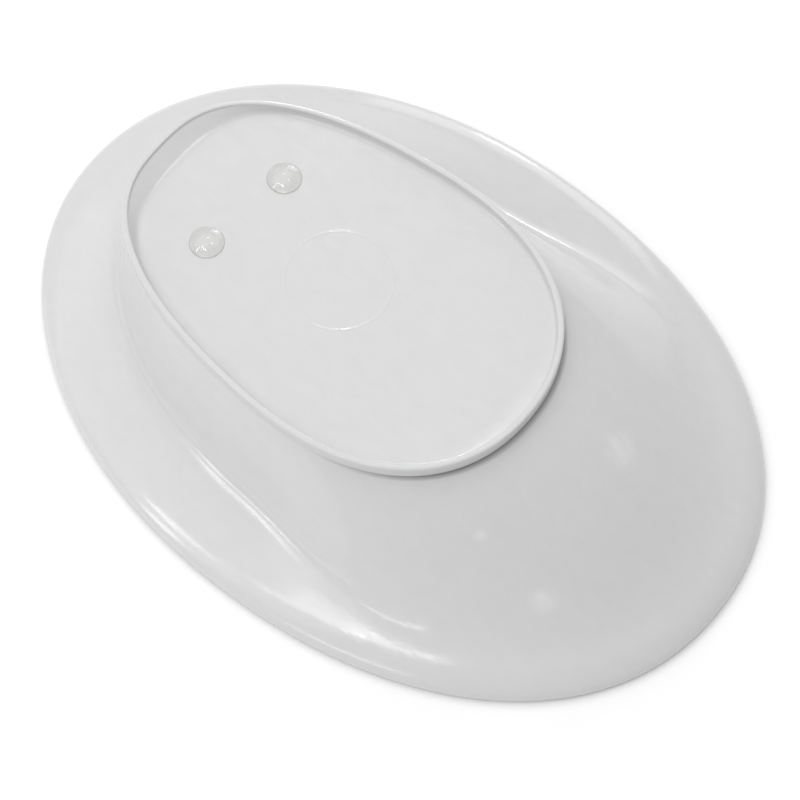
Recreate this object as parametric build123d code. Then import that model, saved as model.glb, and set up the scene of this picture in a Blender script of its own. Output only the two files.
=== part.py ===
from build123d import *
import os
from math import copysign, cos, hypot, pi, radians, sin, sqrt

# Oval hospital pan lying face down on its rim, in millimetres.
# +X runs along the pan towards its long ramp, +Z points up towards the foot ring.
# The origin is on the surface that the rim lies on, midway along the pan's length.

# Rim
half_length = 180.0
half_width = 127.3
ramp_end_squareness = 2.126  # exponent of the oval, 2 is an ellipse
deep_end_squareness = 2.042
edge_height = 3.2
nose_radius = 1.8
shoulder_width = 11.0
shoulder_height = 6.4

# Flange, well and ramp
flange_width = 36.0
flange_width_at_ramp = 17.0
flange_slope = 0.22
ramp_start_slope = 0.36
ramp_start = -0.1  # cosine of the turn at which the ramp dies out into the sides
ramp_full = 0.95  # cosine of the turn inside which the wall is all ramp
flange_lost = 0.6  # cosine of the turn inside which the flange has run out into the ramp
wall_thickness = 3.0
fillet_share = 0.34  # share of the wall's run that is taken up by its concave foot
fillet_share_at_ramp = 1.6
ramp_lean = 0.9  # at 1 the ramp is steepest halfway, above 1 it is steepest nearer the rim
tongue_lean = 2.4  # the same at the very middle of the ramp
tongue_start = 0.7  # cosine of the turn at which the ramp's middle tongue begins

# Foot ring and its shallow recess
ring_centre = -32.3
ring_half_length = 105.4
ring_half_width = 70.1
ring_ramp_squareness = 2.15
ring_deep_squareness = 2.64
ring_taper = 0.154  # how much wider the ring is at its ramp end
ring_top = 64.8
ring_stands_proud = 7.5
crest_width = 2.8
crest_round = 0.9
recess_depth = 4.6
crescent_run = 10.0  # run of the sloping wall at the deep end of the recess
crescent_spread = 58.0  # degrees either side of the deep end

# Plain circular witness line in the recess
witness_radius = 24.5
witness_width = 0.8
witness_height = 0.15

# Clear self-adhesive bumpers
bumper_diameter = 16.0
bumper_rise = 3.6
bumper_land = 0.6
adhesive_diameter = 15.0
adhesive_thickness = 0.4
bumper_places = {"left": (-83.0, 23.5), "right": (-89.0, -22.5)}

points_round = 48
wall_shares = (0.0, 0.06, 0.13, 0.22, 0.34, 0.48, 0.62, 0.76, 0.88, 1.0)
bury = 0.2  # depth by which raised detail is sunk into the face under it

recess_floor = ring_top - recess_depth
ring_base = ring_top - ring_stands_proud


def signed_power(value, exponent):
    return copysign(abs(value) ** exponent, value)


def oval_point(turn, long_radius, short_radius, front, back, taper=0.0, centre=0.0):
    """One point of an oval whose two ends may differ in squareness and in width."""
    exponent = 2.0 / (front if cos(turn) > 0 else back)
    along = signed_power(cos(turn), exponent)
    across = signed_power(sin(turn), exponent)
    return centre + long_radius * along, short_radius * across * (1 + taper * along)


def rim_point(turn, inset):
    return oval_point(
        turn,
        half_length - inset,
        half_width - inset,
        ramp_end_squareness,
        deep_end_squareness,
    )


def ring_point(turn, inset):
    return oval_point(
        turn,
        ring_half_length - inset,
        ring_half_width - inset,
        ring_ramp_squareness,
        ring_deep_squareness,
        ring_taper,
        ring_centre,
    )


def closed_wire(place):
    """A smooth closed wire through place(turn), taken at even turns."""
    turns = [2 * pi * step / points_round for step in range(points_round)]
    return Wire([Edge.make_spline([place(turn) for turn in turns], periodic=True)])


def flat_wire(outline, inset, height):
    return closed_wire(lambda turn: (*outline(turn, inset), height))


def blend(low, high, share):
    return low + (high - low) * share


def smooth_share(value, start, full):
    """Rises smoothly from 0 at start to 1 at full."""
    share = min(max((value - start) / (full - start), 0.0), 1.0)
    return share**2 * (3 - 2 * share)


def ramp_share(turn):
    """0 round the deep end and the sides, 1 round the middle of the ramp."""
    return smooth_share(cos(turn), ramp_start, ramp_full)


def flange_loss(turn):
    """0 where the flange is full, 1 where the ramp starts straight from the shoulder."""
    return smooth_share(cos(turn), ramp_start, flange_lost)


def start_slope(turn):
    """Slope at which the flange climbs away from its shoulder."""
    return blend(flange_slope, ramp_start_slope, flange_loss(turn))


def flange_at(turn, share):
    """Inset and height at a share of the way across the flange, from shoulder to valley."""
    width = blend(flange_width, flange_width_at_ramp, flange_loss(turn))
    inset = blend(shoulder_width, width, share)
    return inset, shoulder_height + inset * start_slope(turn)


def wall_climb(share, turn):
    """Height, from 0 to 1, of the well's wall at a share of its run from valley to ring."""
    ramp = ramp_share(turn)
    foot = blend(fillet_share, fillet_share_at_ramp, flange_loss(turn))
    straight = (sqrt(share**2 + foot**2) - foot) / (sqrt(1 + foot**2) - foot)
    tongue = max(0.0, (cos(turn) - tongue_start) / (1 - tongue_start)) ** 2
    power = 1 + blend(ramp_lean, tongue_lean, tongue)
    s_curve = 1 - (1 - share) ** power * (1 + power * share)
    return blend(straight, s_curve, ramp)


def shoulder_wire(angle, inset, drop):
    """One section round the rim's rounded shoulder, from its edge up to the flange."""
    run = shoulder_width * (1 - cos(angle))
    height = edge_height + (shoulder_height - edge_height) * sin(angle) - drop
    return closed_wire(lambda turn: (*rim_point(turn, inset + run), height + run * start_slope(turn)))


def flange_wire(share, inset, drop):
    def place(turn):
        run, height = flange_at(turn, share)
        return (*rim_point(turn, inset + run), height - drop)

    return closed_wire(place)


def wall_wire(share, inset, drop):
    """The well's wall between the flange and the ring, lowered and inset for its inner face."""

    def place(turn):
        width, valley_height = flange_at(turn, 1.0)
        x_valley, y_valley = rim_point(turn, width + inset)
        x_ring, y_ring = ring_point(turn, inset)
        slope_rise = hypot(x_ring - x_valley, y_ring - y_valley) * start_slope(turn)
        rest = ring_base - valley_height - slope_rise
        height = valley_height + slope_rise * share + rest * wall_climb(share, turn)
        return blend(x_valley, x_ring, share), blend(y_valley, y_ring, share), height - drop

    return closed_wire(place)


def shell_wires(inset, drop):
    """The sections that the outer face and the cavity share, from the rim to the ring."""
    wires = [shoulder_wire(radians(90 * step / 4), inset, drop) for step in range(5)]
    wires.append(flange_wire(0.5, inset, drop))
    for share in wall_shares:
        wires.append(wall_wire(share, inset, drop))
    return wires


def make_outer_body():
    nose = []
    for step in range(3):
        angle = radians(90 * step / 2)
        inset = nose_radius * (1 - sin(angle))
        height = nose_radius * (1 - cos(angle))
        nose.append(flat_wire(rim_point, inset, height))
    body = Solid.make_loft(nose + shell_wires(0.0, 0.0))
    ring = Solid.extrude(
        Face(flat_wire(ring_point, 0.0, ring_base)), Vector(0, 0, ring_stands_proud)
    )
    return body + ring


def make_cavity():
    mouth = Face(flat_wire(rim_point, wall_thickness, -1.0))
    mouth_height = edge_height - wall_thickness + 1.0
    lip = Solid.extrude(mouth, Vector(0, 0, mouth_height))
    basin = Solid.make_loft(shell_wires(wall_thickness, wall_thickness))
    cap_height = recess_floor - ring_base
    cap_face = Face(flat_wire(ring_point, wall_thickness, ring_base - wall_thickness))
    cap = Solid.extrude(cap_face, Vector(0, 0, cap_height))
    return lip + basin + cap


def crescent_inset(turn):
    """Extra inset of the recess floor at the deep end, where the ring's inner wall slopes."""
    away = abs(turn - pi) / radians(crescent_spread)
    if away >= 1:
        return 0.0
    return crescent_run * cos(away * pi / 2) ** 2


def recess_place(turn, height):
    lean = (ring_top - height) / recess_depth
    return (*ring_point(turn, crest_width + crescent_inset(turn) * lean), height)


def make_recess():
    floor_wire = closed_wire(lambda turn: recess_place(turn, recess_floor))
    top_wire = flat_wire(ring_point, crest_width, ring_top)
    return Solid.make_loft([floor_wire, top_wire], ruled=True)


def standing_disc(radius, height):
    return Cylinder(radius, height, align=(Align.CENTER, Align.CENTER, Align.MIN))


def make_witness_line():
    height = witness_height + bury
    inner_radius = witness_radius - witness_width
    line = standing_disc(witness_radius, height) - standing_disc(inner_radius, height)
    return Pos(ring_centre, 0, recess_floor - bury) * line


def make_pan_shell():
    shell = make_outer_body() - make_cavity() - make_recess()
    crest_edges = shell.edges().filter_by_position(Axis.Z, ring_top - 0.01, ring_top + 0.01)
    shell = fillet(crest_edges, crest_round)
    return shell + make_witness_line()


def make_adhesive(place):
    return Pos(*place, recess_floor) * standing_disc(adhesive_diameter / 2, adhesive_thickness)


def make_bumper(place):
    """A low clear dome over a short straight land."""
    radius = bumper_diameter / 2
    cap = bumper_rise - bumper_land
    ball_radius = (radius**2 + cap**2) / (2 * cap)
    ball = Pos(0, 0, bumper_rise - ball_radius) * Sphere(ball_radius)
    dome = standing_disc(radius, bumper_rise) & ball
    return Pos(*place, recess_floor + adhesive_thickness) * dome


def main():
    os.makedirs("parts", exist_ok=True)
    export_step(make_pan_shell(), "parts/pan_shell.step")
    for side, place in bumper_places.items():
        export_step(make_adhesive(place), f"parts/{side}_adhesive_disc.step")
        export_step(make_bumper(place), f"parts/{side}_bumper.step")


main()
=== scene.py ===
import math
import bpy
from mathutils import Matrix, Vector


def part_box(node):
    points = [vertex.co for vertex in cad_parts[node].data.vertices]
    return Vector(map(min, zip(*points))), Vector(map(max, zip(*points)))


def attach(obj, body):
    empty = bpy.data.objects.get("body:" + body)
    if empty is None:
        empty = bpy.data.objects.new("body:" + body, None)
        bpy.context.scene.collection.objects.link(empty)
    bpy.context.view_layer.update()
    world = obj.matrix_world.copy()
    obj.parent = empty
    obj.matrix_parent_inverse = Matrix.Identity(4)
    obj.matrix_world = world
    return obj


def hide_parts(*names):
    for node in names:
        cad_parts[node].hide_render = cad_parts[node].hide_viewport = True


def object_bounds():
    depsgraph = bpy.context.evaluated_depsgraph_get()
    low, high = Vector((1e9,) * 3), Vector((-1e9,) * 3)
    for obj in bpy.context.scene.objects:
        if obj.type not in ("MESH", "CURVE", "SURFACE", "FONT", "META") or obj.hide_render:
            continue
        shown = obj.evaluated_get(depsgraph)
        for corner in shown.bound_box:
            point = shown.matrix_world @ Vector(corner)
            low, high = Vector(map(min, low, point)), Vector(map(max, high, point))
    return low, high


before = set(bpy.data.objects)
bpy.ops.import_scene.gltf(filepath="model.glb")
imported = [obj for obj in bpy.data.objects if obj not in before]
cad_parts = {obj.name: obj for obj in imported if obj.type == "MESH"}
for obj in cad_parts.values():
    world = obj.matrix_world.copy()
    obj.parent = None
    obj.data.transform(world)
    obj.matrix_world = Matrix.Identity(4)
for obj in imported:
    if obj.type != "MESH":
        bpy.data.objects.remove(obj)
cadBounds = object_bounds()
mm = 0.001

# A moulded oval pan lying face down on its rim. Sizes are in millimetres.
pan = {
    "halfLength": 180.0,
    "halfWidth": 127.3,
    "rampEndSquareness": 2.126,
    "deepEndSquareness": 2.042,
    "wall": 3.0,
    "noseRound": 1.8,
    "innerNoseRound": 0.9,
    "edgeHeight": 3.2,
    "shoulderWidth": 11.0,
    "shoulderHeight": 6.4,
    "flangeWidth": 36.0,
    "flangeWidthAtRamp": 17.0,
    "flangeSlope": 0.22,
    "rampStartSlope": 0.36,
    "filletShare": 0.34,
    "filletShareAtRamp": 1.6,
    "rampLean": 0.9,
    "tongueLean": 2.4,
    "tongueStart": 0.7,
    "rampStart": -0.1,
    "rampFull": 0.95,
    "flangeLost": 0.6,
    "ringCentre": -32.3,
    "ringHalfLength": 105.4,
    "ringHalfWidth": 70.1,
    "ringRampSquareness": 2.15,
    "ringDeepSquareness": 2.64,
    "ringTaper": 0.154,
    "ringTop": 64.8,
    "ringStandsProud": 7.5,
    "crestWidth": 2.8,
    "crestRound": 0.9,
    "recessDepth": 4.6,
    "recessRootRound": 2.2,
    "crescentRun": 10.0,
    "crescentSpread": 58.0,
    "floorBendAt": 50.0,
    "floorBendSlope": 0.05,
    "floorBendRound": 4.0,
    "witnessRadius": 24.5,
    "witnessWidth": 0.8,
    "witnessHeight": 0.05,
    "circleMargin": 2.0,
    "valleySoftening": 60,
    "crispRows": 14,
    "pointsRound": 288,
}

recessFloor = pan["ringTop"] - pan["recessDepth"]
ringBase = pan["ringTop"] - pan["ringStandsProud"]


def signedPower(value, exponent):
    return math.copysign(abs(value) ** exponent, value)


def mix(low, high, share):
    return low + (high - low) * share


def ovalPoint(turn, longRadius, shortRadius, front, back, taper=0.0, centre=0.0):
    exponent = 2.0 / (front if math.cos(turn) > 0 else back)
    along = signedPower(math.cos(turn), exponent)
    across = signedPower(math.sin(turn), exponent)
    return centre + longRadius * along, shortRadius * across * (1 + taper * along)


def rimPoint(turn, inset):
    return ovalPoint(turn, pan["halfLength"] - inset, pan["halfWidth"] - inset,
                     pan["rampEndSquareness"], pan["deepEndSquareness"])


def ringPoint(turn, inset):
    return ovalPoint(turn, pan["ringHalfLength"] - inset, pan["ringHalfWidth"] - inset,
                     pan["ringRampSquareness"], pan["ringDeepSquareness"],
                     pan["ringTaper"], pan["ringCentre"])


def smoothShare(value, start, full):
    share = min(max((value - start) / (full - start), 0.0), 1.0)
    return share ** 2 * (3 - 2 * share)


def rampShare(turn):  # 0 round the deep end and the sides, 1 round the middle of the ramp
    return smoothShare(math.cos(turn), pan["rampStart"], pan["rampFull"])


def flangeLoss(turn):  # 1 where the ramp starts just past the shoulder
    return smoothShare(math.cos(turn), pan["rampStart"], pan["flangeLost"])


def startSlope(turn):  # how steeply the flange climbs away from its shoulder
    return mix(pan["flangeSlope"], pan["rampStartSlope"], flangeLoss(turn))


def flangeAt(turn, share):  # inset and height across the flange, from its shoulder to its valley
    width = mix(pan["flangeWidth"], pan["flangeWidthAtRamp"], flangeLoss(turn))
    inset = mix(pan["shoulderWidth"], width, share)
    return inset, pan["shoulderHeight"] + inset * startSlope(turn)


def wallClimb(share, turn):  # 0 at the valley, 1 at the ring, level at first
    ramp = rampShare(turn)
    fillet = mix(pan["filletShare"], pan["filletShareAtRamp"], flangeLoss(turn))
    corner = math.hypot(share, fillet) - fillet
    straight = corner / (math.hypot(1, fillet) - fillet)
    tongue = max(0.0, (math.cos(turn) - pan["tongueStart"]) / (1 - pan["tongueStart"])) ** 2
    power = 1 + mix(pan["rampLean"], pan["tongueLean"], tongue)  # a high power is steepest near the rim
    sCurve = 1 - (1 - share) ** power * (1 + power * share)
    return mix(straight, sCurve, ramp)


def wallPoint(share, turn, inset, drop):
    width, valleyHeight = flangeAt(turn, 1.0)
    xValley, yValley = rimPoint(turn, width + inset)
    xRing, yRing = ringPoint(turn, inset)
    slopeRise = math.hypot(xRing - xValley, yRing - yValley) * startSlope(turn)
    rest = ringBase - valleyHeight - slopeRise
    height = valleyHeight + slopeRise * share + rest * wallClimb(share, turn)
    return mix(xValley, xRing, share), mix(yValley, yRing, share), height - drop


def flangePoint(share, turn, inset, drop):
    run, height = flangeAt(turn, share)
    return (*rimPoint(turn, inset + run), height - drop)


def crescentInset(turn):  # how far the foot of the ring's inner wall runs in at the deep end
    away = abs(turn - math.pi) / math.radians(pan["crescentSpread"])
    return pan["crescentRun"] * math.cos(away * math.pi / 2) ** 2 if away < 1 else 0.0


def arcSteps(count):  # angles over a quarter turn, without the first
    return [math.radians(90 * step / count) for step in range(1, count + 1)]


def shellRows(inset, drop):  # the rim's edge, shoulder, flange and well wall, for either face
    rows = []
    shoulderRise = pan["shoulderHeight"] - pan["edgeHeight"]
    for angle in [0.0, *arcSteps(14)]:
        run = pan["shoulderWidth"] * (1 - math.cos(angle))
        height = pan["edgeHeight"] + shoulderRise * math.sin(angle) - drop
        rows.append(lambda turn, run=run, height=height:
                    (*rimPoint(turn, inset + run), height + run * startSlope(turn)))
    for step in range(1, 10):
        rows.append(lambda turn, share=step / 10: flangePoint(share, turn, inset, drop))
    wallSteps = 44
    for step in range(wallSteps + 1):
        share = (step / wallSteps) ** 1.35  # finer towards the valley
        rows.append(lambda turn, share=share: wallPoint(share, turn, inset, drop))
    return rows


def noseRows():
    rows = []
    rounding = pan["innerNoseRound"]
    for angle in [0.0, *arcSteps(4)]:
        inset = pan["wall"] - rounding * (1 - math.cos(angle))
        height = rounding * (1 - math.sin(angle))
        rows.append(lambda turn, inset=inset, height=height: (*rimPoint(turn, inset), height))
    rounding = pan["noseRound"]
    for angle in [0.0, *arcSteps(6)]:
        inset = rounding * (1 - math.sin(angle))
        height = rounding * (1 - math.cos(angle))
        rows.append(lambda turn, inset=inset, height=height: (*rimPoint(turn, inset), height))
    return rows


def ringRows():
    rows = []
    rounding = pan["crestRound"]
    for share in (0.1, 0.35, 0.65, 1.0):
        height = mix(ringBase, pan["ringTop"] - rounding, share)
        rows.append(lambda turn, height=height: (*ringPoint(turn, 0.0), height))
    for angle in arcSteps(6):
        inset = rounding * (1 - math.cos(angle))
        height = pan["ringTop"] - rounding * (1 - math.sin(angle))
        rows.append(lambda turn, inset=inset, height=height: (*ringPoint(turn, inset), height))
    for angle in [0.0, *arcSteps(6)]:
        inset = pan["crestWidth"] - rounding * (1 - math.sin(angle))
        height = pan["ringTop"] - rounding * (1 - math.cos(angle))
        rows.append(lambda turn, inset=inset, height=height: (*ringPoint(turn, inset), height))
    return rows


def recessPoint(turn, share):  # down the ring's inner wall and round its root, share 0 to 1
    root = pan["recessRootRound"]
    top = pan["ringTop"] - pan["crestRound"]
    foot = pan["crestWidth"] + crescentInset(turn)
    slopeLength = math.hypot(foot - pan["crestWidth"], top - recessFloor)
    bendStart = 1 - min(root / slopeLength, 0.6)
    xBend = mix(pan["crestWidth"], foot, bendStart)
    zBend = mix(top, recessFloor, bendStart)
    if share < 0.5:
        inset = mix(pan["crestWidth"], xBend, share * 2)
        return (*ringPoint(turn, inset), mix(top, zBend, share * 2))
    t = share * 2 - 1
    inset = (1 - t) ** 2 * xBend + 2 * t * (1 - t) * foot + t ** 2 * (foot + root)
    height = (1 - t) ** 2 * zBend + (1 - (1 - t) ** 2) * recessFloor
    return (*ringPoint(turn, inset), height)


def floorHeight(x):  # the recess floor falls away very slightly towards the ramp
    past = max(0.0, x - pan["floorBendAt"])
    return recessFloor - pan["floorBendSlope"] * past ** 2 / (past + pan["floorBendRound"])


def floorPoint(turn, share):  # from the foot of the ring's inner wall in to a circle
    x, y, height = recessPoint(turn, 1.0)
    circle = pan["witnessRadius"] + pan["circleMargin"]
    xCircle = pan["ringCentre"] + circle * math.cos(turn)
    x, y = mix(x, xCircle, share), mix(y, circle * math.sin(turn), share)
    return x, y, floorHeight(x)


def circleRow(radius, lift):
    return lambda turn: (pan["ringCentre"] + radius * math.cos(turn),
                         radius * math.sin(turn), recessFloor + lift)


def recessRows():
    rows = []
    for step in range(1, 21):
        rows.append(lambda turn, share=step / 20: recessPoint(turn, share))
    for step in range(1, 25):
        rows.append(lambda turn, share=step / 24: floorPoint(turn, share))
    outer, width, lift = pan["witnessRadius"], pan["witnessWidth"], pan["witnessHeight"]
    for radius, share in ((outer + 0.5, 0), (outer, 0), (outer - 0.12, 0.8), (outer - width / 2, 1),
                          (outer - width + 0.12, 0.8), (outer - width, 0), (outer - width - 0.5, 0)):
        rows.append(circleRow(radius, lift * share))
    for share in (0.9, 0.75, 0.6, 0.45, 0.3, 0.15, 0.05):
        rows.append(circleRow((outer - width) * share, 0.0))
    return rows


def loopsFrom(rows, pointsRound):  # each row becomes one closed loop of points
    turns = [2 * math.pi * step / pointsRound for step in range(pointsRound)]
    return [[Vector(row(turn)) * mm for turn in turns] for row in rows]


def soften(loops, passes):  # each pass averages the inner loops with the two beside them
    for _ in range(passes):
        middle = [[before * 0.25 + point * 0.5 + after * 0.25
                   for before, point, after in zip(loops[i - 1], loops[i], loops[i + 1])]
                  for i in range(1, len(loops) - 1)]
        loops = [loops[0], *middle, loops[-1]]
    return loops


def meshFromLoops(name, loops, firstPole, lastPole):  # the poles close the two ends
    count = len(loops[0])
    points = [Vector(firstPole) * mm]
    for loop in loops:
        points.extend(loop)
    points.append(Vector(lastPole) * mm)
    faces = []
    for step in range(count):
        after = (step + 1) % count
        faces.append((0, 1 + after, 1 + step))
        for row in range(len(loops) - 1):
            low, high = 1 + row * count, 1 + (row + 1) * count
            faces.append((low + step, low + after, high + after, high + step))
        top = 1 + (len(loops) - 1) * count
        faces.append((top + step, top + after, len(points) - 1))
    mesh = bpy.data.meshes.new(name)
    mesh.from_pydata([tuple(p) for p in points], [], faces)
    mesh.polygons.foreach_set("use_smooth", [True] * len(mesh.polygons))
    piece = bpy.data.objects.new(name, mesh)
    bpy.context.scene.collection.objects.link(piece)
    return piece


def basinRoofRows():  # the well's flat bottom, seen from inside
    wall = pan["wall"]
    basinTop = recessFloor - wall
    rows = [lambda turn, share=share: (*[mix(c, p, share) for c, p in
            zip((pan["ringCentre"], 0.0), ringPoint(turn, wall))], basinTop)
            for share in (0.25, 0.5, 0.75, 0.95, 1.0)]
    rows.append(lambda turn: (*ringPoint(turn, wall), mix(ringBase - wall, basinTop, 0.3)))
    return rows


def makePan():
    count, wall = pan["pointsRound"], pan["wall"]
    outer = loopsFrom(shellRows(0.0, 0.0), count)
    crisp = pan["crispRows"]  # the edge stays crisp, the flange runs softly into the wall
    outer = outer[:crisp] + soften(outer[crisp:], pan["valleySoftening"])
    loops = loopsFrom(basinRoofRows(), count)
    loops += loopsFrom(reversed(shellRows(wall, wall)), count)
    loops += loopsFrom(noseRows(), count) + outer
    loops += loopsFrom(ringRows() + recessRows(), count)
    middle = (pan["ringCentre"], 0.0)
    return meshFromLoops("pan_shell_moulding", loops, (*middle, recessFloor - wall), (*middle, recessFloor))


def srgb(code):  # hex colour to the linear values that a shader takes
    values = [int(code[i:i + 2], 16) / 255 for i in (1, 3, 5)]
    return [v / 12.92 if v <= 0.04045 else ((v + 0.055) / 1.055) ** 2.4 for v in values] + [1.0]


def addNode(tree, kind, settings=None, links=None):
    node = tree.nodes.new(kind)
    for key, value in (settings or {}).items():
        if isinstance(key, int) or key in node.inputs:
            node.inputs[key].default_value = value
        else:
            setattr(node, key, value)
    for key, source in (links or {}).items():
        tree.links.new(source, node.inputs[key])
    return node


def newMaterial(name):
    material = bpy.data.materials.new(name)
    material.use_nodes = True
    material.node_tree.nodes.clear()
    return material


# pale soft round patches on the ramp, lighter in colour: place and radius in metres
palePatches = [
    ((0.1086, 0.0205, 0.0413), 0.012),
    ((0.122, -0.0498, 0.0246), 0.009),
    ((0.0866, -0.0495, 0.0433), 0.004),
]


def mouldedPolypropylene():
    # Injection-moulded polypropylene from a polished mould: bright and a little waxy, with crisp
    # highlights that break up over faint flow marks, and a haze of fine handling scratches.
    material = newMaterial("white_moulded_polypropylene")
    tree = material.node_tree
    place = addNode(tree, "ShaderNodeTexCoord").outputs["Object"]
    sides = addNode(tree, "ShaderNodeSeparateXYZ", None, {"Vector": place})

    # flow marks: cloudy streaks about 11 mm long and 6 mm wide
    stretch = addNode(tree, "ShaderNodeMapping", {"Scale": (90.0, 170.0, 120.0)}, {"Vector": place})
    flow = addNode(tree, "ShaderNodeTexNoise",
                   {"Scale": 1.0, "Detail": 5.0, "Roughness": 0.6, "Distortion": 0.8},
                   {"Vector": stretch.outputs["Vector"]}).outputs["Fac"]
    # cooling waves about 30 mm apart
    waves = addNode(tree, "ShaderNodeTexNoise", {"Scale": 33.0, "Detail": 1.0}, {"Vector": place})
    # the mould's own polish, really finer than 0.3 mm, drawn at 1.2 mm so that it shows
    polish = addNode(tree, "ShaderNodeTexNoise", {"Scale": 830.0, "Detail": 3.0}, {"Vector": place})
    # hair scratches: the thin edges of warped cells about 28 mm across
    warp = addNode(tree, "ShaderNodeTexNoise", {"Scale": 18.0, "Detail": 4.0}, {"Vector": place})
    shifted = addNode(tree, "ShaderNodeMixRGB", {"Fac": 0.12},
                      {"Color1": place, "Color2": warp.outputs["Color"]})
    cells = addNode(tree, "ShaderNodeTexVoronoi", {"feature": "DISTANCE_TO_EDGE", "Scale": 40.0},
                    {"Vector": shifted.outputs["Color"]})
    scratch = addNode(tree, "ShaderNodeMapRange",
                      {"From Min": 0.0, "From Max": 0.012, "To Min": 1.0, "To Max": 0.0},
                      {"Value": cells.outputs["Distance"]})
    # a few specks under 0.6 mm across, only where the point of a 20 mm cell lies at the surface
    dust = addNode(tree, "ShaderNodeTexVoronoi", {"Scale": 50.0}, {"Vector": place})
    speck = addNode(tree, "ShaderNodeMapRange",
                    {"From Min": 0.006, "From Max": 0.014, "To Min": 0.55, "To Max": 0.0},
                    {"Value": dust.outputs["Distance"]})

    cloudy = addNode(tree, "ShaderNodeMapRange", {"From Min": 0.3, "From Max": 0.7}, {"Value": flow})
    base = addNode(tree, "ShaderNodeMixRGB", {"Color1": srgb("#DADADB"), "Color2": srgb("#DDDDDD")},
                   {"Fac": cloudy.outputs["Result"]})
    dusty = addNode(tree, "ShaderNodeMixRGB", {"Color2": srgb("#A8A6A2")},
                    {"Fac": speck.outputs["Result"], "Color1": base.outputs["Color"]})
    patchMask = None
    # the pale patches fade out from their middles and are broken up by the flow marks
    for spot, radius in palePatches:
        away = addNode(tree, "ShaderNodeVectorMath", {"operation": "DISTANCE", 1: spot}, {0: place})
        patch = addNode(tree, "ShaderNodeMapRange",
                        {"interpolation_type": "SMOOTHSTEP", "From Max": radius,
                         "To Min": 1.0, "To Max": 0.0},
                        {"Value": away.outputs["Value"]}).outputs["Result"]
        patchMask = patch if patchMask is None else addNode(
            tree, "ShaderNodeMath", {"operation": "MAXIMUM"}, {0: patch, 1: patchMask}).outputs["Value"]
    patchFlow = addNode(tree, "ShaderNodeMath", {"operation": "MULTIPLY"}, {0: patchMask, 1: flow})
    pale = addNode(tree, "ShaderNodeMixRGB", {"Color2": srgb("#EFEFEF")},
                   {"Fac": patchFlow.outputs["Value"], "Color1": dusty.outputs["Color"]})
    # painted shade: at the ramp end a dark line about 1.6 mm high is painted along the sharp root of the
    # foot ring
    above = addNode(tree, "ShaderNodeMath", {"operation": "SUBTRACT", 1: (ringBase + 0.4) * mm},
                    {0: sides.outputs["Z"]})
    off = addNode(tree, "ShaderNodeMath", {"operation": "ABSOLUTE"}, {0: above.outputs["Value"]})
    line = addNode(tree, "ShaderNodeMapRange",
                   {"From Min": 0.0002, "From Max": 0.0014, "To Min": 0.8, "To Max": 0.0},
                   {"Value": off.outputs["Value"]})
    rampEnd = addNode(tree, "ShaderNodeMapRange", {"From Min": 0.005, "From Max": 0.06},
                      {"Value": sides.outputs["X"]})
    paintedRingShade = addNode(tree, "ShaderNodeMath", {"operation": "MULTIPLY"},
                    {0: line.outputs["Result"], 1: rampEnd.outputs["Result"]})
    # painted shadow: the lowest 3 mm of the rim is painted dark grey, standing in for the shade and contact
    # shadow where the rim meets the floor
    paintedRimShadow = addNode(tree, "ShaderNodeMapRange",
                      {"From Min": 0.0006, "From Max": 0.003, "To Min": 0.6, "To Max": 0.0},
                      {"Value": sides.outputs["Z"]})
    # the painted shade at the ring's root and the painted shadow on the rim darken the colour together
    paintedShade = addNode(tree, "ShaderNodeMath", {"operation": "MAXIMUM"},
                    {0: paintedRingShade.outputs["Value"], 1: paintedRimShadow.outputs["Result"]})
    finish = addNode(tree, "ShaderNodeMixRGB", {"Color2": srgb("#4E4B47")},
                     {"Fac": paintedShade.outputs["Value"], "Color1": pale.outputs["Color"]})

    # gloss varies with the flow, and the scratches are duller
    gloss = addNode(tree, "ShaderNodeMapRange",
                    {"From Min": 0.3, "From Max": 0.7, "To Min": 0.1, "To Max": 0.17}, {"Value": flow})
    scratched = addNode(tree, "ShaderNodeMath", {"operation": "MULTIPLY_ADD", 1: 0.12},
                        {0: scratch.outputs["Result"], 2: gloss.outputs["Result"]})

    broad = addNode(tree, "ShaderNodeBump", {"Strength": 1.0, "Distance": 0.00012},
                    {"Height": waves.outputs["Fac"]})
    # the flow marks are deepest on the flange at the -Y side
    reach = addNode(tree, "ShaderNodeVectorMath", {"operation": "DISTANCE", 1: (0.07, -0.108, 0.008)},
                    {0: place})
    depth = addNode(tree, "ShaderNodeMapRange",
                    {"From Min": 0.02, "From Max": 0.075, "To Min": 1.0, "To Max": 0.2},
                    {"Value": reach.outputs["Value"]})
    streaks = addNode(tree, "ShaderNodeBump", {"Distance": 0.00006},
                      {"Height": flow, "Strength": depth.outputs["Result"],
                       "Normal": broad.outputs["Normal"]})
    fine = addNode(tree, "ShaderNodeBump", {"Strength": 1.0, "Distance": 0.0000015},
                   {"Height": polish.outputs["Fac"], "Normal": streaks.outputs["Normal"]})
    shader = addNode(tree, "ShaderNodeBsdfPrincipled", {"IOR": 1.49},
                     {"Base Color": finish.outputs["Color"], "Roughness": scratched.outputs["Value"],
                      "Normal": fine.outputs["Normal"]})
    addNode(tree, "ShaderNodeOutputMaterial", None, {"Surface": shader.outputs["BSDF"]})
    return material


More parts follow.
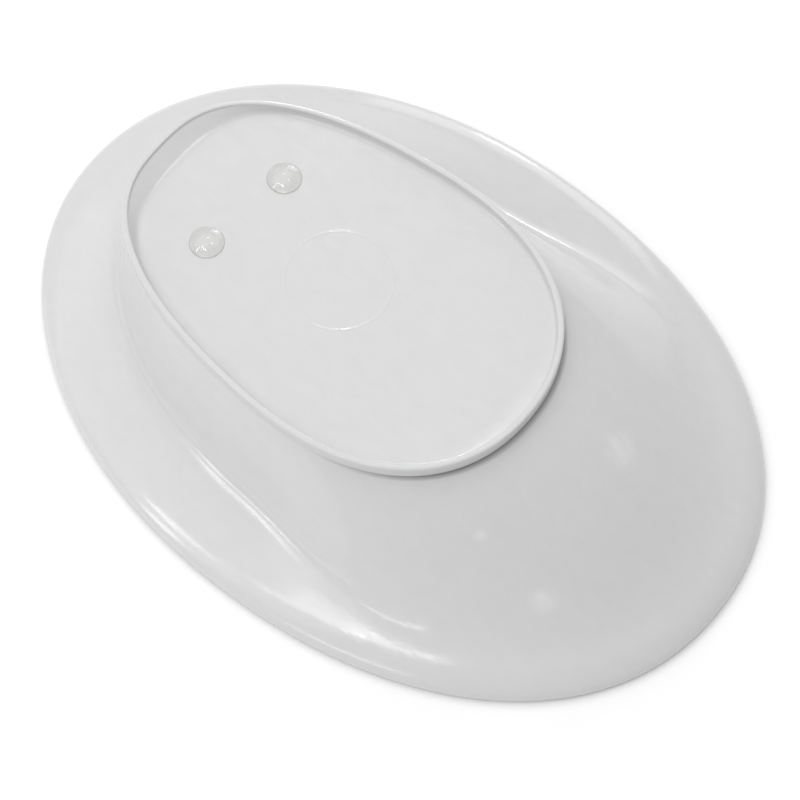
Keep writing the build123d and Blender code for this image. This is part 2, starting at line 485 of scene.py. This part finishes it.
def clearPolyurethane():
    # Cast clear and soft, very smooth: a lens that shows the pan through it, with a faint haze.
    # Shadow and diffuse rays pass straight through, so that the pan under it is lit.
    material = newMaterial("clear_cast_polyurethane")
    tree = material.node_tree
    place = addNode(tree, "ShaderNodeTexCoord").outputs["Object"]
    height = addNode(tree, "ShaderNodeSeparateXYZ", None, {"Vector": place}).outputs["Z"]
    swirl = addNode(tree, "ShaderNodeTexNoise", {"Scale": 300.0, "Detail": 2.0},
                    {"Vector": place}).outputs["Fac"]  # 3 mm swirls
    haze = addNode(tree, "ShaderNodeMapRange",
                   {"From Min": 0.35, "From Max": 0.7, "To Min": 0.01, "To Max": 0.06}, {"Value": swirl})
    ripple = addNode(tree, "ShaderNodeBump", {"Strength": 1.0, "Distance": 0.00006}, {"Height": swirl})
    # the upright edge, 0.6 mm high, gets a painted faint green-grey shade, standing in for the dark ring
    # that refraction draws round the dome's edge
    edge = addNode(tree, "ShaderNodeMapRange",
                   {"From Min": (recessFloor + 1.0) * mm, "From Max": (recessFloor + 1.5) * mm},
                   {"Value": height})
    edgeShadedTint = addNode(tree, "ShaderNodeMixRGB", {"Color1": srgb("#BEC6B6"), "Color2": srgb("#FDFDFD")},
                   {"Fac": edge.outputs["Result"]})
    glass = addNode(tree, "ShaderNodeBsdfPrincipled", {"IOR": 1.5, "Transmission Weight": 1.0},
                    {"Roughness": haze.outputs["Result"], "Normal": ripple.outputs["Normal"],
                     "Base Color": edgeShadedTint.outputs["Color"]})
    clear = addNode(tree, "ShaderNodeBsdfTransparent", {"Color": srgb("#FFFFFF")}).outputs["BSDF"]
    # the stuck-down underside reflects nothing back into the dome
    bonded = addNode(tree, "ShaderNodeMath", {"operation": "LESS_THAN", 1: (recessFloor + 0.43) * mm},
                     {0: height})
    path = addNode(tree, "ShaderNodeLightPath")
    surface = glass.outputs["BSDF"]
    for share in (bonded.outputs["Value"], path.outputs["Is Diffuse Ray"], path.outputs["Is Shadow Ray"]):
        surface = addNode(tree, "ShaderNodeMixShader", None,
                          {"Fac": share, 1: surface, 2: clear}).outputs["Shader"]
    addNode(tree, "ShaderNodeOutputMaterial", None, {"Surface": surface})
    return material


def acrylicAdhesive():
    # Pressure-sensitive acrylic, die-cut: clear, wet-looking, with the faint grey of its body.
    material = newMaterial("clear_acrylic_adhesive_film")
    tree = material.node_tree
    place = addNode(tree, "ShaderNodeTexCoord").outputs["Object"]
    wet = addNode(tree, "ShaderNodeTexNoise", {"Scale": 500.0, "Detail": 3.0},
                  {"Vector": place})  # 2 mm blotches
    amount = addNode(tree, "ShaderNodeMapRange",
                     {"From Min": 0.3, "From Max": 0.75, "To Min": 0.02, "To Max": 0.1},
                     {"Value": wet.outputs["Fac"]})
    body = addNode(tree, "ShaderNodeBsdfPrincipled",
                   {"Base Color": srgb("#CDCFC9"), "Roughness": 0.2, "IOR": 1.47})
    clear = addNode(tree, "ShaderNodeBsdfTransparent", {"Color": srgb("#FEFEFD")})
    both = addNode(tree, "ShaderNodeMixShader", None,
                   {"Fac": amount.outputs["Result"], 1: clear.outputs["BSDF"], 2: body.outputs["BSDF"]})
    addNode(tree, "ShaderNodeOutputMaterial", None, {"Surface": both.outputs["Shader"]})
    return material


def studioFloor():
    # Matt white background paper that glows a little: a faint pulp mottle and a fine tooth.
    material = newMaterial("white_background_paper")
    tree = material.node_tree
    place = addNode(tree, "ShaderNodeTexCoord").outputs["Object"]
    pulp = addNode(tree, "ShaderNodeTexNoise", {"Scale": 40.0, "Detail": 4.0},
                   {"Vector": place})  # 25 mm clouds
    tooth = addNode(tree, "ShaderNodeTexNoise", {"Scale": 900.0, "Detail": 2.0},
                    {"Vector": place})  # 1 mm fibres
    tone = addNode(tree, "ShaderNodeMixRGB", {"Color1": srgb("#F8F8F8"), "Color2": srgb("#FCFCFC")},
                   {"Fac": pulp.outputs["Fac"]})
    grain = addNode(tree, "ShaderNodeBump", {"Strength": 1.0, "Distance": 0.00002},
                    {"Height": tooth.outputs["Fac"]})
    shader = addNode(tree, "ShaderNodeBsdfPrincipled", {
        "Roughness": 0.9, "Emission Color": srgb("#FFFFFF"), "Emission Strength": 0.11},
        {"Base Color": tone.outputs["Color"], "Normal": grain.outputs["Normal"]})
    addNode(tree, "ShaderNodeOutputMaterial", None, {"Surface": shader.outputs["BSDF"]})
    return material


# Clear self-adhesive domes, and the film under them. Sizes are in millimetres.
bumper = {
    "diameter": 16.0,
    "rise": 3.6,
    "land": 0.6,
    "footRound": 0.15,
    "adhesiveDiameter": 15.0,
    "adhesiveThickness": 0.4,
    "adhesiveEdge": 0.05,
    "domeRings": 16,
    "pointsRound": 72,
}


def bumperRows():  # radius and height of each ring, from under the dome to near its top
    radius, foot = bumper["diameter"] / 2, bumper["footRound"]
    cap = bumper["rise"] - bumper["land"]
    ball = (radius ** 2 + cap ** 2) / (2 * cap)
    half = math.asin(radius / ball)
    section = [(radius * 0.5, 0.0), (radius * 0.9, 0.0), (radius - foot, 0.0), (radius, foot)]
    section.append((radius, bumper["land"] * 0.6))
    for step in range(1, bumper["domeRings"]):
        angle = half * (1 - step / bumper["domeRings"])
        section.append((ball * math.sin(angle), bumper["rise"] - ball * (1 - math.cos(angle))))
    return section


def filmRows():
    radius, edge = bumper["adhesiveDiameter"] / 2, bumper["adhesiveEdge"]
    return [(radius - edge, 0.0), (radius, edge), (radius, bumper["adhesiveThickness"])]


def revolve(name, section, centre, base, pointsRound):
    rows = [lambda turn, r=r, z=z: (centre[0] + r * math.cos(turn),
                                    centre[1] + r * math.sin(turn), base + z) for r, z in section]
    return meshFromLoops(name, loopsFrom(rows, pointsRound),
                         (*centre, base + section[0][1]), (*centre, base + section[-1][1]))


def nodeCentre(node):
    low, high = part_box(node)
    return ((low.x + high.x) / 2 / mm, (low.y + high.y) / 2 / mm), low.z / mm


studio = {
    "azimuth": 39.08,
    "elevation": 65.75,
    "distance": 1.44,
    "lens": 143.78,
    "aimOffset": (0.0075, -0.0067),
    "lightDistance": 3.0,
    "roomLight": 0.46,
    "floorHalfSize": 4.0,
    "floorDrop": 0.0002,
}


def towards(azimuth, elevation):  # azimuth 0 is the pan's -Y side and 90 is its ramp end
    turn, rise = math.radians(azimuth), math.radians(elevation)
    return Vector((math.sin(turn) * math.cos(rise), -math.cos(turn) * math.cos(rise), math.sin(rise)))


def aimAt(thing, target):
    thing.rotation_mode = "QUATERNION"
    thing.rotation_quaternion = (Vector(target) - thing.location).to_track_quat("-Z", "Y")


def makeCamera():
    low, high = cadBounds
    target = Vector(((low.x + high.x) / 2 + studio["aimOffset"][0],
                     (low.y + high.y) / 2 + studio["aimOffset"][1], 0.0))
    data = bpy.data.cameras.new("camera")
    data.lens = studio["lens"]
    data.sensor_width = 36.0
    data.clip_end = 50.0
    camera = bpy.data.objects.new("camera", data)
    bpy.context.scene.collection.objects.link(camera)
    camera.location = target + towards(studio["azimuth"], studio["elevation"]) * studio["distance"]
    aimAt(camera, target)
    bpy.context.scene.camera = camera


softboxes = [
    # name, azimuth, elevation, width and height in degrees, radiance
    ("overhead", 258, 66, 80, 50, 0.88),
    ("lowNear", 318, 12, 60, 14, 1.0),
    ("farLow", 200, 16, 26, 22, 2.0),
    ("tubeNear", 338, 68.5, 11, 3, 8.0),
    ("tubeFar", 4, 68.5, 12, 3.5, 15.0),
    ("nearLamp", 318, 57, 4, 8, 9.0),
    ("nearLowLamp", 327, 42, 4, 12, 9.0),
    ("farLamp", 200, 10, 5, 10, 7.0),
    ("kneeLamp", 4, 40, 18, 4, 5.0),
    ("recessLamp", 160, 72, 9, 7, 4.5),
    ("spotLamp", 222, 55, 3, 3, 40.0),
]


def makeLights():
    distance = studio["lightDistance"]
    for name, azimuth, elevation, across, high, radiance in softboxes:
        data = bpy.data.lights.new(name, "AREA")
        data.shape = "RECTANGLE"
        data.size = 2 * distance * math.tan(math.radians(across / 2))
        data.size_y = 2 * distance * math.tan(math.radians(high / 2))
        data.energy = radiance * math.pi * data.size * data.size_y
        light = bpy.data.objects.new(name, data)
        bpy.context.scene.collection.objects.link(light)
        light.location = towards(azimuth, elevation) * distance
        aimAt(light, (0, 0, 0))
    world = bpy.data.worlds.new("softRoom")
    world.use_nodes = True
    background = world.node_tree.nodes["Background"]
    background.inputs["Color"].default_value = srgb("#FFFFFF")
    background.inputs["Strength"].default_value = studio["roomLight"]
    bpy.context.scene.world = world


def makeFloor():
    size = studio["floorHalfSize"]
    corners = [(-size, -size, 0), (size, -size, 0), (size, size, 0), (-size, size, 0)]
    mesh = bpy.data.meshes.new("floor")
    mesh.from_pydata(corners, [], [(0, 1, 2, 3)])
    floor = bpy.data.objects.new("floor", mesh)
    bpy.context.scene.collection.objects.link(floor)
    floor.location.z = -studio["floorDrop"]
    floor.data.materials.append(studioFloor())


def dress(piece, material, node):
    piece.data.materials.append(material)
    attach(piece, "root")
    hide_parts(node)


makeCamera()
makeFloor()
makeLights()
print("studio ready")

dress(makePan(), mouldedPolypropylene(), "pan_shell")
print("pan ready")

clearMaterial = clearPolyurethane()
adhesiveMaterial = acrylicAdhesive()
for side in ("left", "right"):
    centre, base = nodeCentre(side + "_bumper")
    dome = revolve(side + "_bumper_dome", bumperRows(), centre, base, bumper["pointsRound"])
    dress(dome, clearMaterial, side + "_bumper")
    centre, base = nodeCentre(side + "_adhesive_disc")
    film = revolve(side + "_adhesive_film", filmRows(), centre, base, bumper["pointsRound"])
    dress(film, adhesiveMaterial, side + "_adhesive_disc")
print("bumpers ready")

bpy.context.scene.view_settings.view_transform = "Standard"
